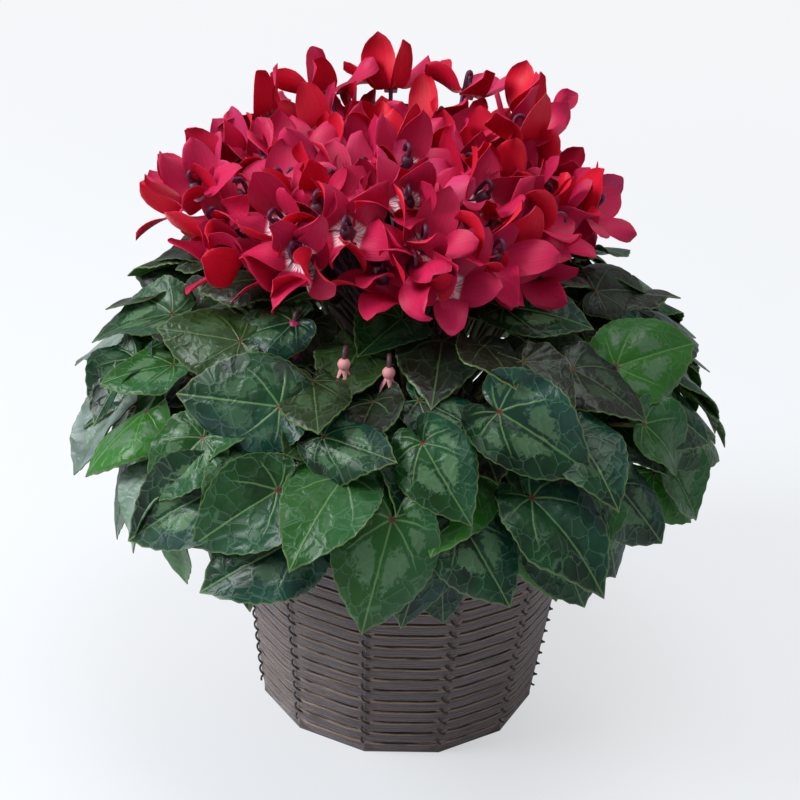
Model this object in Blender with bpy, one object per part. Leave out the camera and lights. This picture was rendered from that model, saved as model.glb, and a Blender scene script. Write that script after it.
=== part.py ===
"""Potted cyclamen: a florist's cyclamen in its grower's pot, standing in a twelve-sided basket.

Metres, +Z up. The origin is the middle of the basket's underside, which is what it rests on.
-Y is the front. An azimuth of 0 degrees points to the front, and +90 degrees to +X.
"""
import math

import bmesh
import bpy
from mathutils import Vector

# ---- driving dimensions -------------------------------------------------------------------
TOUCH = 0.0003             # clearance kept where two pieces meet

SIDES = 12                 # flat facets of the basket
CORNER_TURN = 3.6          # degrees that the corners are turned from the front
BASE_RADIUS = 0.092        # outer corner of the basket at the floor
FLARE = 0.117              # growth of that radius for each metre of height
COURSES = 18               # bands stacked from floor to rim
PITCH = 0.0085             # one course
BAND_HEIGHT = 0.0073
BAND_THICK = 0.0024
FLOOR_THICK = 0.004
STAKE_REACH = 0.005        # how far a stake wraps along each facet from its corner
STAKE_THICK = 0.003

POT_BASE_RADIUS = 0.062
POT_LIP_RADIUS = 0.094
POT_HEIGHT = 0.145
POT_WALL = 0.002
LIP_HEIGHT = 0.012
LIP_STEP = 0.004           # how far the lip stands out from the wall
SOIL_BELOW_RIM = 0.016

TUBER_RADIUS = 0.033
TUBER_DEPTH = 0.014        # from its widest line down, and up to the crown
CROWN_RADIUS = 0.028
TURN_STEPS = 40            # segments of the turned pieces

LEAF_RING = 0.0235         # where the leaf stalks leave the crown
FLOWER_RING = 0.0115       # where the flower stalks leave it
PETIOLE = 0.0030
BLADE_THICK = 0.0010
SCAPE = 0.0024             # thickness of a flower stalk
COLLAR = 0.004             # straight foot of every stalk

MOUND_CENTRE = Vector((-0.008, 0, 0.19))    # the leaves lie on this rounded mound
MOUND_RADIUS = 0.178
MOUND_RISE = 0.115
MOUND_DROP = 0.09
BLOOM_CENTRE_X = -0.020    # the flowers stand a little to the left of the pot

# Leaves: azimuth, angle down from the top of the mound, swing from straight downhill,
# length from the stalk to the tip in mm, and height above the mound in mm.
LEAVES = [
    (0, 77, -12, 72, 6), (-20, 74, -45, 64, 6), (-42, 92, 0, 52, -6), (-56, 70, -10, 58, 2),
    (-24, 56, -80, 70, 8), (-72, 50, -20, 60, 5), (-94, 66, -5, 62, 2), (25, 74, 34, 72, 2),
    (21, 54, 42, 68, 8), (46, 78, 30, 58, -4), (44, 48, 25, 58, 6), (62, 62, 30, 60, 2),
    (84, 66, 10, 60, 2), (88, 42, 20, 54, 6), (112, 72, 0, 62, 2), (138, 60, 10, 62, 4),
    (164, 74, -5, 64, 2), (-170, 58, 5, 62, 5), (-146, 74, 0, 64, 2), (-122, 58, -10, 62, 4),
]

# Flowers: azimuth, reach from the middle of the blooms, height of the hub, lean outwards.
FLOWERS = [
    (0, 0.088, 0.318, 40), (40, 0.092, 0.322, 45), (80, 0.092, 0.328, 50), (120, 0.090, 0.325, 40),
    (160, 0.088, 0.322, 35), (-160, 0.088, 0.322, 35), (-120, 0.090, 0.320, 40), (-80, 0.096, 0.310, 55),
    (-40, 0.092, 0.316, 45), (20, 0.052, 0.350, 15), (80, 0.048, 0.354, 12), (140, 0.048, 0.356, 8),
    (-160, 0.050, 0.356, 8), (-100, 0.054, 0.352, 15), (-40, 0.052, 0.350, 15),
]
BUDS = [(-28, 0.100, 0.285), (-8, 0.104, 0.262), (8, 0.106, 0.258)]


# ---- helpers ------------------------------------------------------------------------------
def clear_scene():
    for obj in list(bpy.data.objects):
        bpy.data.objects.remove(obj, do_unlink=True)


def material(name, colour, roughness, metallic=0.0):
    mat = bpy.data.materials.new(name)
    mat.use_nodes = True
    shader = mat.node_tree.nodes["Principled BSDF"]
    shader.inputs["Base Color"].default_value = (*colour, 1.0)
    shader.inputs["Roughness"].default_value = roughness
    shader.inputs["Metallic"].default_value = metallic
    return mat


def finish_object(name, bm, mat, smooth_angle=None):
    """Turn a bmesh into a named object with its faces pointing out."""
    bmesh.ops.recalc_face_normals(bm, faces=bm.faces)
    if bm.calc_volume(signed=True) < 0:      # on a spiky shape all its faces may end up turned in
        bmesh.ops.reverse_faces(bm, faces=bm.faces)
    mesh = bpy.data.meshes.new(name)
    bm.to_mesh(mesh)
    bm.free()
    mesh.materials.append(mat)
    if smooth_angle is not None:
        mesh.shade_smooth()
        mesh.set_sharp_from_angle(angle=math.radians(smooth_angle))
    obj = bpy.data.objects.new(name, mesh)
    bpy.context.scene.collection.objects.link(obj)
    return obj


def heading(azimuth):
    """The level direction at an azimuth, and the level direction to its right."""
    a = math.radians(azimuth)
    return Vector((math.sin(a), -math.cos(a), 0)), Vector((math.cos(a), math.sin(a), 0))


def turned(name, profile, mat):
    """Turn a profile of (radius, height) points, from axis to axis, about the Z axis."""
    bm = bmesh.new()
    verts = [bm.verts.new((radius, 0, height)) for radius, height in profile]
    edges = [bm.edges.new(pair) for pair in zip(verts, verts[1:])]
    bmesh.ops.spin(bm, geom=verts + edges, cent=(0, 0, 0), axis=(0, 0, 1), dvec=(0, 0, 0),
                   angle=2 * math.pi, steps=TURN_STEPS, use_merge=True)
    bmesh.ops.remove_doubles(bm, verts=bm.verts, dist=1e-6)
    return finish_object(name, bm, mat, smooth_angle=35)


def bezier(p0, p1, p2, p3, steps):
    """Points along a cubic curve, its start left out."""
    points = []
    for i in range(1, steps + 1):
        t = i / steps
        s = 1 - t
        points.append(p0 * s**3 + p1 * 3 * s * s * t + p2 * 3 * s * t * t + p3 * t**3)
    return points


def extend(bm, start, rings):
    """Grow a four-sided limb out of four vertices through rings of four points, and close it."""
    last = start
    for ring in rings:
        new = [bm.verts.new(point) for point in ring]
        for i in range(4):
            bm.faces.new((last[i], last[(i + 1) % 4], new[(i + 1) % 4], new[i]))
        last = new
    bm.faces.new(last)


def stem_rings(path, side, thick):
    """Square sections along a path, carried along it without twisting."""
    rings = []
    for i, point in enumerate(path):
        ahead = path[min(i + 1, len(path) - 1)]
        behind = path[max(i - 1, 0)]
        along = (ahead - behind).normalized()
        side = (side - along * side.dot(along)).normalized()
        up = along.cross(side)
        half = thick / 2
        rings.append([point + side * x * half + up * y * half
                      for x, y in ((-1, -1), (1, -1), (1, 1), (-1, 1))])
    return rings


# ---- basket -------------------------------------------------------------------------------
def corner_radius(height, inset=0.0):
    """Corner radius of the basket's outline at a height, inset square to its facets."""
    return BASE_RADIUS + FLARE * height - inset / math.cos(math.pi / SIDES)


def corner_azimuth(index):
    return CORNER_TURN + (index + 0.5) * 360 / SIDES


def basket_corner(index, height, inset=0.0):
    out, _ = heading(corner_azimuth(index))
    return out * corner_radius(height, inset) + Vector((0, 0, height))


def basket_band(course, mat):
    """One flat band bent round the twelve corners."""
    low = course * PITCH
    high = low + BAND_HEIGHT
    bm = bmesh.new()
    sections = []
    for index in range(SIDES):
        section = [basket_corner(index, low), basket_corner(index, high),
                   basket_corner(index, high, BAND_THICK), basket_corner(index, low, BAND_THICK)]
        sections.append([bm.verts.new(point) for point in section])
    for index in range(SIDES):
        near, far = sections[index], sections[(index + 1) % SIDES]
        for i in range(4):
            bm.faces.new((near[i], far[i], far[(i + 1) % 4], near[(i + 1) % 4]))
    return finish_object(f"basket_band_{course + 1:02d}", bm, mat)


def stake_section(index, height):
    """Five points of a stake: its outer corner, and both wings along the facets."""
    inset = BAND_THICK + TOUCH
    corner = basket_corner(index, height, inset)
    left = (basket_corner(index - 1, height, inset) - corner).normalized()
    right = (basket_corner((index + 1) % SIDES, height, inset) - corner).normalized()
    inner = basket_corner(index, height, inset + STAKE_THICK)
    return [corner, corner + left * STAKE_REACH, inner + left * STAKE_REACH,
            inner + right * STAKE_REACH, corner + right * STAKE_REACH]


def basket_frame(mat):
    """The floor plate, with a stake standing up from each of its corners."""
    bm = bmesh.new()
    rim_height = COURSES * PITCH - (PITCH - BAND_HEIGHT)
    lower, upper, stakes = [], [], []
    for index in range(SIDES):
        section = stake_section(index, 0.0)
        raised = [bm.verts.new(point + Vector((0, 0, FLOOR_THICK))) for point in section]
        upper.append(raised)
        lower.append([bm.verts.new(section[i]) for i in (1, 0, 4)])
        stakes.append(bm.faces.new(raised))
    around = range(SIDES)
    bm.faces.new([vert for index in around for vert in lower[index]])
    bm.faces.new([upper[index][i] for index in around for i in (1, 2, 3, 4)])
    for index in around:
        following = (index + 1) % SIDES
        chain_low = lower[index] + [lower[following][0]]
        chain_high = [upper[index][1], upper[index][0], upper[index][4], upper[following][1]]
        for i in range(3):
            bm.faces.new((chain_low[i], chain_low[i + 1], chain_high[i + 1], chain_high[i]))
    grown = bmesh.ops.extrude_discrete_faces(bm, faces=stakes)["faces"]
    for index, face in enumerate(grown):
        target = stake_section(index, rim_height)
        for vert in face.verts:
            nearest = min(range(5), key=lambda i: (vert.co - upper[index][i].co).length)
            vert.co = target[nearest]
    return finish_object("basket_frame", bm, mat)


# ---- pot, soil and tuber ------------------------------------------------------------------
POT_FOOT = FLOOR_THICK + TOUCH
POT_RIM = POT_FOOT + POT_HEIGHT
SOIL_TOP = POT_RIM - SOIL_BELOW_RIM
TUBER_MIDDLE = SOIL_TOP + 0.003
CROWN_HEIGHT = TUBER_MIDDLE + TUBER_DEPTH


def pot_radius(height):
    """Outer radius of the pot's wall at a height."""
    top = POT_LIP_RADIUS - LIP_STEP
    return POT_BASE_RADIUS + (top - POT_BASE_RADIUS) * (height - POT_FOOT) / POT_HEIGHT


def grower_pot(mat):
    lip_foot = POT_RIM - LIP_HEIGHT
    wall = POT_WALL
    inner_floor = POT_FOOT + wall
    profile = [(0, POT_FOOT), (POT_BASE_RADIUS, POT_FOOT), (pot_radius(lip_foot), lip_foot),
               (POT_LIP_RADIUS, lip_foot + 0.001), (POT_LIP_RADIUS, POT_RIM),
               (POT_LIP_RADIUS - wall, POT_RIM), (pot_radius(lip_foot) - wall, lip_foot),
               (pot_radius(inner_floor) - wall, inner_floor), (0, inner_floor)]
    return turned("grower_pot", profile, mat)


def soil(mat):
    foot = POT_FOOT + POT_WALL + TOUCH
    inset = POT_WALL + TOUCH
    hollow = []
    for degrees in (-15, -35, -60, -90):
        a = math.radians(degrees)
        radius = (TUBER_RADIUS + TOUCH) * math.cos(a)
        hollow.append((max(radius, 0.0), TUBER_MIDDLE + (TUBER_DEPTH + TOUCH) * math.sin(a)))
    edge = SOIL_TOP - 0.004
    profile = [(0, foot), (pot_radius(foot) - inset, foot), (pot_radius(edge) - inset, edge),
               (0.07, SOIL_TOP)] + hollow
    return turned("soil", profile, mat)


def tuber(mat):
    profile = []
    for degrees in (-90, -60, -35, -15, 10, 40):
        a = math.radians(degrees)
        profile.append((max(TUBER_RADIUS * math.cos(a), 0.0), TUBER_MIDDLE + TUBER_DEPTH * math.sin(a)))
    profile[0] = (0, profile[0][1])
    profile += [(CROWN_RADIUS * 0.85, CROWN_HEIGHT), (0, CROWN_HEIGHT)]
    return turned("tuber", profile, mat)


def stalk_down_to(ring, azimuth, start, lead, rise):
    """The rest of a stalk's centre line, from a point and its direction to the tuber's crown."""
    out, _ = heading(azimuth)
    foot = out * ring + Vector((0, 0, CROWN_HEIGHT + TOUCH))
    collar = foot + Vector((0, 0, COLLAR))
    return bezier(start, start + lead, collar + Vector((0, 0, rise)), collar, 6) + [foot]


# ---- leaves -------------------------------------------------------------------------------
BLADE_POINTS = 14          # steps round a blade's outline
NECK = 0.003               # half the length of the blade's neck, where its stalk joins


def mound_point(azimuth, down):
    out, _ = heading(azimuth)
    a = math.radians(down)
    rise = MOUND_RISE if down < 90 else MOUND_DROP
    return MOUND_CENTRE + out * MOUND_RADIUS * math.sin(a) + Vector((0, 0, rise * math.cos(a)))


def heart(angle):
    """Distance from the stalk to the edge of a heart-shaped blade, as a share of its length."""
    a = math.radians(angle)
    return 0.53 + 0.12 * math.cos(a) + 0.35 * math.exp(-abs(angle) / 20)


def leaf_frame(azimuth, down, swing, above):
    """Stalk joint of a blade, its direction, the direction across it and its normal."""
    downhill = (mound_point(azimuth, down + 1) - mound_point(azimuth, down - 1)).normalized()
    out, side = heading(azimuth)
    normal = side.cross(downhill).normalized()
    if normal.dot(out) < 0:
        normal.negate()
    joint = mound_point(azimuth, down) + normal * above / 1000
    a = math.radians(swing)
    flat = downhill * math.cos(a) + side * math.sin(a)
    tilt = math.radians(14)
    along = flat * math.cos(tilt) + normal * math.sin(tilt)
    across = normal.cross(flat).normalized()
    return joint, along, across, along.cross(across)


def leaf(number, spec, ring_azimuth, mat):
    azimuth, down, swing, length, above = spec
    joint, along, across, normal = leaf_frame(azimuth, down, swing, above)
    length = length / 1000

    def blade_point(share, step, under):
        turn = -1 + 2 * step / BLADE_POINTS
        if share == 0:
            radius, angle = NECK, 150 * turn
        else:
            angle = (150 + 20 * share) * turn
            radius = NECK + (heart(angle) * length - NECK) * share
        a = math.radians(angle)
        x, y = radius * math.cos(a), radius * math.sin(a)
        droop = 0.22 * max(x, 0) ** 2 / length + 0.12 * y * y / length
        height = -droop - (BLADE_THICK if under else 0)
        return joint + along * x + across * y + normal * height

    bm = bmesh.new()
    skins = []
    for under in (False, True):
        rings = [[bm.verts.new(blade_point(share, step, under)) for step in range(BLADE_POINTS + 1)]
                 for share in (0, 0.55, 1)]
        bm.faces.new(rings[0])
        for inner, outer in zip(rings, rings[1:]):
            for i in range(BLADE_POINTS):
                bm.faces.new((inner[i], inner[i + 1], outer[i + 1], outer[i]))
        skins.append(rings)
    top, bottom = skins
    for i in range(BLADE_POINTS):
        bm.faces.new((top[2][i], top[2][i + 1], bottom[2][i + 1], bottom[2][i]))
    for i in (0, BLADE_POINTS):
        for ring in (0, 1):
            bm.faces.new((top[ring][i], top[ring + 1][i], bottom[ring + 1][i], bottom[ring][i]))
    neck = [top[0][0], top[0][-1], bottom[0][-1], bottom[0][0]]

    start = joint - along * NECK * 1.2 - normal * PETIOLE
    lead = -normal * 0.028 - along * 0.012
    path = [start] + stalk_down_to(LEAF_RING, ring_azimuth, start, lead, 0.05)
    extend(bm, neck, stem_rings(path, across, PETIOLE))
    return finish_object(f"leaf_{number:02d}", bm, mat, smooth_angle=50)


# ---- flowers ------------------------------------------------------------------------------
HUB_SIDES = 10
# One petal, from the hub out: radius, height, half width (mm, the flower's axis up).
PETAL = [(8, -6, 2.4), (11.5, -3, 5), (15, 6, 9), (19, 18, 12.5), (24, 31, 10), (27, 41, 1.5)]
PETAL_THICK = 0.0012
HOOK = 0.0036              # radius of the bend in the stalk above the hub


def flower_axes(azimuth, lean):
    """The way the petals point, and the level and tilted directions square to it."""
    out, side = heading(azimuth)
    a = math.radians(lean)
    axis = Vector((0, 0, 1)) * math.cos(a) + out * math.sin(a)
    return axis, side.cross(axis).normalized(), side


def hooked_path(hub, axis, inward, ring_azimuth, top):
    """A stalk's centre line from the hub's top, over its hook and down to the crown."""
    path = [hub + axis * top]
    centre = hub + axis * (top + 0.002) + inward * HOOK
    for degrees in (150, 110, 70, 30):
        a = math.radians(degrees)
        path.append(centre + inward * HOOK * math.cos(a) + axis * HOOK * math.sin(a))
    elbow = hub + inward * 2 * HOOK - axis * 0.010
    path.append(elbow)
    return path + stalk_down_to(FLOWER_RING, ring_azimuth, elbow, -axis * 0.035, 0.11)


def flower(number, spec, ring_azimuth, mat):
    azimuth, reach, height, lean = spec
    out, _ = heading(azimuth)
    hub = Vector((BLOOM_CENTRE_X, 0, height)) + out * reach
    axis, inward, side = flower_axes(azimuth, lean)
    if inward.dot(out) > 0:
        inward.negate()

    def place(radius, rise, angle, aside=0.0):
        a = math.radians(angle)
        outward = inward * math.cos(a) + side * math.sin(a)
        tangent = side * math.cos(a) - inward * math.sin(a)
        return hub + outward * radius + axis * rise + tangent * aside

    bm = bmesh.new()
    levels = [(0.0050, -0.0070), (0.0052, -0.0025), (0.0040, 0.0020), (0.0014, 0.0040)]
    rings = [[bm.verts.new(place(radius, rise, 18 + 36 * i)) for i in range(HUB_SIDES)]
             for radius, rise in levels[:3]]
    bm.faces.new(rings[0])
    for level in range(2):
        low, high = rings[level], rings[level + 1]
        for i in range(HUB_SIDES):
            following = (i + 1) % HUB_SIDES
            if level == 0 and i % 2 == 0:
                continue
            bm.faces.new((low[i], low[following], high[following], high[i]))
    neck = [bm.verts.new(place(levels[3][0] * math.sqrt(2), levels[3][1], angle))
            for angle in (45, 135, 225, 315)]
    shoulder = rings[2]
    spans = [(0, 3), (3, 5), (5, 8), (8, 10)]
    for corner, (first, last) in enumerate(spans):
        fan = [shoulder[i % HUB_SIDES] for i in range(first, last + 1)]
        bm.faces.new(fan + [neck[corner]])
        bm.faces.new((shoulder[last % HUB_SIDES], neck[(corner + 1) % 4], neck[corner]))

    for petal in range(5):
        i = 2 * petal
        start = [rings[0][i], rings[0][(i + 1) % HUB_SIDES],
                 rings[1][(i + 1) % HUB_SIDES], rings[1][i]]
        angle = 36 + 72 * petal
        sections = []
        for step, (radius, rise, half) in enumerate(PETAL):
            before = PETAL[max(step - 1, 0)]
            after = PETAL[min(step + 1, len(PETAL) - 1)]
            run = Vector((after[0] - before[0], after[1] - before[1])).normalized()
            lower = (radius / 1000 + run.y * PETAL_THICK / 2, rise / 1000 - run.x * PETAL_THICK / 2)
            upper = (radius / 1000 - run.y * PETAL_THICK / 2, rise / 1000 + run.x * PETAL_THICK / 2)
            half = half / 1000
            sections.append([place(*lower, angle, -half), place(*lower, angle, half),
                             place(*upper, angle, half), place(*upper, angle, -half)])
        extend(bm, start, sections)

    path = hooked_path(hub, axis, inward, ring_azimuth, levels[3][1] + 0.001)
    diagonal = place(1, 0, 0) - hub
    sections = stem_rings(path, diagonal, SCAPE)
    extend(bm, [neck[1], neck[0], neck[3], neck[2]], sections)
    return finish_object(f"flower_{number:02d}", bm, mat, smooth_angle=50)


def bud(number, spec, ring_azimuth, mat):
    """A closed, pointed bud nodding on its stalk."""
    azimuth, reach, height = spec
    out, side = heading(azimuth)
    joint = Vector((0, 0, height)) + out * reach
    down = (out * 0.35 - Vector((0, 0, 1))).normalized()
    path = [joint + down * 0.016, joint + down * 0.008, joint, joint - down * 0.006]
    path += stalk_down_to(FLOWER_RING, ring_azimuth, path[-1], -down * 0.01 - out * 0.02, 0.09)
    widths = [0.0012, 0.0065, 0.0055] + [SCAPE] * (len(path) - 3)
    rings = []
    for point_ring, width in zip(stem_rings(path, side, 1.0), widths):
        middle = sum(point_ring, Vector()) / 4
        rings.append([middle + (point - middle) * width for point in point_ring])
    bm = bmesh.new()
    start = [bm.verts.new(point) for point in rings[0]]
    bm.faces.new(start)
    extend(bm, start, rings[1:])
    return finish_object(f"bud_{number:02d}", bm, mat, smooth_angle=50)


def spread_ring(azimuths, shift=0.0):
    """Even places on a ring for stalks, in the order of where they go, so that none cross."""
    order = sorted(range(len(azimuths)), key=lambda i: azimuths[i])
    middle = sum(azimuths) / len(azimuths)
    places = [0.0] * len(azimuths)
    for rank, i in enumerate(order):
        places[i] = middle + shift + (rank - (len(azimuths) - 1) / 2) * 360 / len(azimuths)
    return places


def main():
    clear_scene()
    reed = material("basket reed", (0.09, 0.065, 0.06), 0.6)
    plastic = material("pot plastic", (0.03, 0.03, 0.03), 0.5)
    peat = material("peat", (0.035, 0.022, 0.015), 0.95)
    cork = material("tuber bark", (0.10, 0.06, 0.035), 0.9)
    green = material("leaf green", (0.02, 0.09, 0.035), 0.45)
    red = material("petal red", (0.62, 0.01, 0.03), 0.6)
    pink = material("bud pink", (0.62, 0.12, 0.16), 0.6)

    basket_frame(reed)
    for course in range(COURSES):
        basket_band(course, reed)
    grower_pot(plastic)
    soil(peat)
    tuber(cork)

    for number, (spec, ring) in enumerate(zip(LEAVES, spread_ring([s[0] for s in LEAVES])), 1):
        leaf(number, spec, ring, green)
    stalked = [spec[0] for spec in FLOWERS + BUDS]
    rings = spread_ring(stalked)
    for number, spec in enumerate(FLOWERS, 1):
        flower(number, spec, rings[number - 1], red)
    for number, spec in enumerate(BUDS, 1):
        bud(number, spec, rings[len(FLOWERS) + number - 1], pink)


main()
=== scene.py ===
# %% [markdown]
# # A potted cyclamen
# A florist's cyclamen grows from a flat tuber: every leaf and every flower has its own stalk from the
# same crown. The plant stands in a plastic pot, and the pot in a basket of dark flat bands.
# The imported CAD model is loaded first, as a fixed frame, and each finished piece is built around it.
# Particles could scatter the leaves, but then none could be given its own place. So every leaf and
# flower is one line of numbers, and loops turn those lines into meshes.

import math
import random

import bmesh
import bpy
from mathutils import Matrix, Vector


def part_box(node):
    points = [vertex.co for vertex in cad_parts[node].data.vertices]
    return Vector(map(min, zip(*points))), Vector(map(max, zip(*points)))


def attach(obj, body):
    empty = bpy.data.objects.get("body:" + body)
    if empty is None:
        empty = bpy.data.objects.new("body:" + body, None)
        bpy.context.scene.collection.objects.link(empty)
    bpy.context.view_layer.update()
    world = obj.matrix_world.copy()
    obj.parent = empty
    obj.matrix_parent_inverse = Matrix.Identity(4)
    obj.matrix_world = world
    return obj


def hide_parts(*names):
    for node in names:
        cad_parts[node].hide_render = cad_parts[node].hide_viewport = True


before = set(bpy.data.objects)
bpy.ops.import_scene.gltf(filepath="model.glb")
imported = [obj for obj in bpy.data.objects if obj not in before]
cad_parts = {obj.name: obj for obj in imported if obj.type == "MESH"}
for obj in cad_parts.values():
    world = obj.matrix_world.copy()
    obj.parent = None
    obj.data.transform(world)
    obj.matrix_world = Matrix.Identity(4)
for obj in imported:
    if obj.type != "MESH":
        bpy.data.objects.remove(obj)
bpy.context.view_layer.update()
print("CAD nodes:", len(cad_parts))

# %% [markdown]
# ## Camera, floor and light
# The plant is seen from the front and a little above. A long lens keeps the basket's sides nearly
# parallel. The camera is rolled a little, as a hand-held one is. It could be aimed with a Track To
# constraint, but a matrix that is worked out once leaves nothing live in the scene.

# %% Camera
CAMERA_TARGET = Vector((-0.0071, 0.0, 0.1996))
CAMERA_DISTANCE = 1.104
CAMERA_RISE = 26.0         # degrees above level
CAMERA_ROLL = 3.05
LENS = 81.1                # mm
SENSOR = 36.0              # mm

rise = math.radians(CAMERA_RISE)
place = CAMERA_TARGET + CAMERA_DISTANCE * Vector((0, -math.cos(rise), math.sin(rise)))
look = (CAMERA_TARGET - place).to_track_quat("-Z", "Y").to_matrix().to_4x4()
camera = bpy.data.objects.new("camera", bpy.data.cameras.new("camera"))
camera.data.lens = LENS
camera.data.sensor_width = SENSOR
camera.matrix_world = Matrix.Translation(place) @ look @ Matrix.Rotation(math.radians(CAMERA_ROLL), 4, "Z")
bpy.context.scene.collection.objects.link(camera)
bpy.context.scene.camera = camera
bpy.context.scene.view_settings.view_transform = "Standard"
print("camera at", [round(x, 3) for x in place])

# %% [markdown]
# Node trees are long-winded in Python. Two small classes make them short: a Value is one socket that
# can be used in a sum, and a Finish is one material that makes nodes and mixes colours. A pattern then
# reads as the formula that it is.

# %% Shader helpers


class Value:
    """One output socket, usable in Python sums and products."""

    def __init__(self, finish, socket):
        self.finish, self.socket = finish, socket

    def __add__(self, other):
        return self.finish.math("ADD", self, other)

    def __sub__(self, other):
        return self.finish.math("SUBTRACT", self, other)

    def __rsub__(self, other):
        return self.finish.math("SUBTRACT", other, self)

    def __mul__(self, other):
        return self.finish.math("MULTIPLY", self, other)

    def __truediv__(self, other):
        return self.finish.math("DIVIDE", self, other)

    __radd__ = __add__
    __rmul__ = __mul__


class Finish:
    """A material with one Principled shader, whose plain values are set at once."""

    def __init__(self, name, colour, roughness, **plain):
        self.material = bpy.data.materials.new(name)
        self.material.use_nodes = True
        self.tree = self.material.node_tree
        self.shader = self.tree.nodes["Principled BSDF"]
        self.shader.inputs["Base Color"].default_value = (*colour, 1)
        self.shader.inputs["Roughness"].default_value = roughness
        for socket, value in plain.items():
            self.shader.inputs[socket.replace("_", " ")].default_value = value

    def node(self, kind, settings, inputs, out=0):
        node = self.tree.nodes.new(kind)
        for key, setting in settings.items():
            setattr(node, key, setting)
        for key, value in inputs.items():
            if isinstance(value, Value):
                self.tree.links.new(value.socket, node.inputs[key])
            else:
                node.inputs[key].default_value = value
        return Value(self, node.outputs[out])

    def math(self, operation, *values):
        return self.node("ShaderNodeMath", {"operation": operation}, dict(enumerate(values)))

    def step(self, value, low, high):
        """0 at low and 1 at high, with soft ends. Low may be the larger of the two."""
        settings = {"interpolation_type": "SMOOTHSTEP"}
        return self.node("ShaderNodeMapRange", settings,
                         {"Value": value, "From Min": low, "From Max": high})

    def mix(self, share, first, second):
        """A colour between two colours, each three numbers or a Value."""
        first, second = [c if isinstance(c, Value) else (*c, 1) for c in (first, second)]
        settings = {"data_type": "RGBA"}
        return self.node("ShaderNodeMix", settings, {0: share, 6: first, 7: second}, out=2)

    def split(self, vector):
        return [self.node("ShaderNodeSeparateXYZ", {}, {0: vector}, out=i) for i in range(3)]

    def join(self, x, y, z):
        return self.node("ShaderNodeCombineXYZ", {}, {0: x, 1: y, 2: z})

    def place(self):
        return self.node("ShaderNodeTexCoord", {}, {}, out="Object")

    def stretch(self, vector, x, y, z):
        return self.node("ShaderNodeVectorMath", {"operation": "MULTIPLY"}, {0: vector, 1: (x, y, z)})

    def noise(self, vector, scale, detail=3.0):
        inputs = {"Vector": vector, "Scale": scale, "Detail": detail}
        return self.node("ShaderNodeTexNoise", {}, inputs, out="Fac")

    def attribute(self, name):
        return self.node("ShaderNodeAttribute", {"attribute_name": name}, {}, out="Fac")

    def colour(self, value):
        self.tree.links.new(value.socket, self.shader.inputs["Base Color"])

    def bump(self, height, distance, strength=1.0):
        normal = self.node("ShaderNodeBump", {}, {"Height": height, "Distance": distance,
                                                  "Strength": strength})
        self.tree.links.new(normal.socket, self.shader.inputs["Normal"])


print("helpers ready")

# %% [markdown]
# The floor is a wide pale sheet. Lit only by the lamps it would need so much light that the plant would
# burn out, so for the camera it mixes in an even white of its own. That share is a little lower at the
# basket's foot, which paints a contact shade there, and higher far away, where floor and room meet.

# %% Floor finish
FLOOR_COLOUR = (0.78, 0.79, 0.83)
FLOOR_GLOW = (0.97, 0.985, 1.0)
FLOOR_GLOW_SHARE = 0.67    # how much of the floor's look is its own even white
FOOT_SHADE = 0.15          # how much less of it there is just in front of the basket: a painted contact shade
FAR_GLOW = 0.18            # how much more of it there is far away
FOOT_X, FOOT_Y = -0.03, -0.12
FOOT_REACH = (0.05, 0.22)  # from the foot, where the shade starts to fade and where it has gone
FAR_REACH = (0.5, 2.0)     # from the foot, where the far glow starts and where it is full

floor_finish = Finish("pale floor", FLOOR_COLOUR, 0.9, Specular_IOR_Level=0.1)
seen_by_camera = floor_finish.node("ShaderNodeLightPath", {}, {}, out="Is Camera Ray")
floor_x, floor_y, _ = floor_finish.split(floor_finish.place())
off_x, off_y = floor_x - FOOT_X, floor_y - FOOT_Y
from_foot = floor_finish.math("SQRT", off_x * off_x + off_y * off_y)
# painted contact shade: the floor's own white falls off near the basket's foot, so the floor is darker
# there
glow_share = floor_finish.step(from_foot, *FOOT_REACH) * FOOT_SHADE
glow_share = glow_share + floor_finish.step(from_foot, *FAR_REACH) * FAR_GLOW
glow_share = glow_share + (FLOOR_GLOW_SHARE - FOOT_SHADE)
floor_nodes, floor_links = floor_finish.tree.nodes, floor_finish.tree.links
glow = floor_nodes.new("ShaderNodeEmission")
glow.inputs["Color"].default_value = (*FLOOR_GLOW, 1)
floor_blend = floor_nodes.new("ShaderNodeMixShader")
floor_links.new((seen_by_camera * glow_share).socket, floor_blend.inputs[0])
floor_links.new(floor_finish.shader.outputs[0], floor_blend.inputs[1])
floor_links.new(glow.outputs[0], floor_blend.inputs[2])
floor_links.new(floor_blend.outputs[0], floor_nodes["Material Output"].inputs["Surface"])
print("floor nodes:", len(floor_nodes))

# %% Floor
FLOOR_REACH = 12.0
FLOOR_GAP = 0.0004         # the floor lies this far under the basket, so the two never flicker
bm = bmesh.new()
bmesh.ops.create_grid(bm, x_segments=2, y_segments=2, size=FLOOR_REACH)
floor_mesh = bpy.data.meshes.new("floor")
bm.to_mesh(floor_mesh)
bm.free()
floor_mesh.materials.append(floor_finish.material)
floor = bpy.data.objects.new("floor", floor_mesh)
floor.location.z = -FLOOR_GAP
bpy.context.scene.collection.objects.link(floor)
print("floor side:", 2 * FLOOR_REACH, "m")

# %% [markdown]
# Soft light comes from a white room and from a large window on the left, so the left side of the basket
# turns pale and a faint shadow falls to the right. Round area lamps give soft shadow edges, where point
# lamps or a sun would cut them hard. A second, weaker lamp above opens the shade between the leaves.

# %% Lamps
LAMP_COLOUR = (0.94, 0.97, 1.0)
LAMP_AIM = Vector((0, 0, 0.2))


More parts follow.
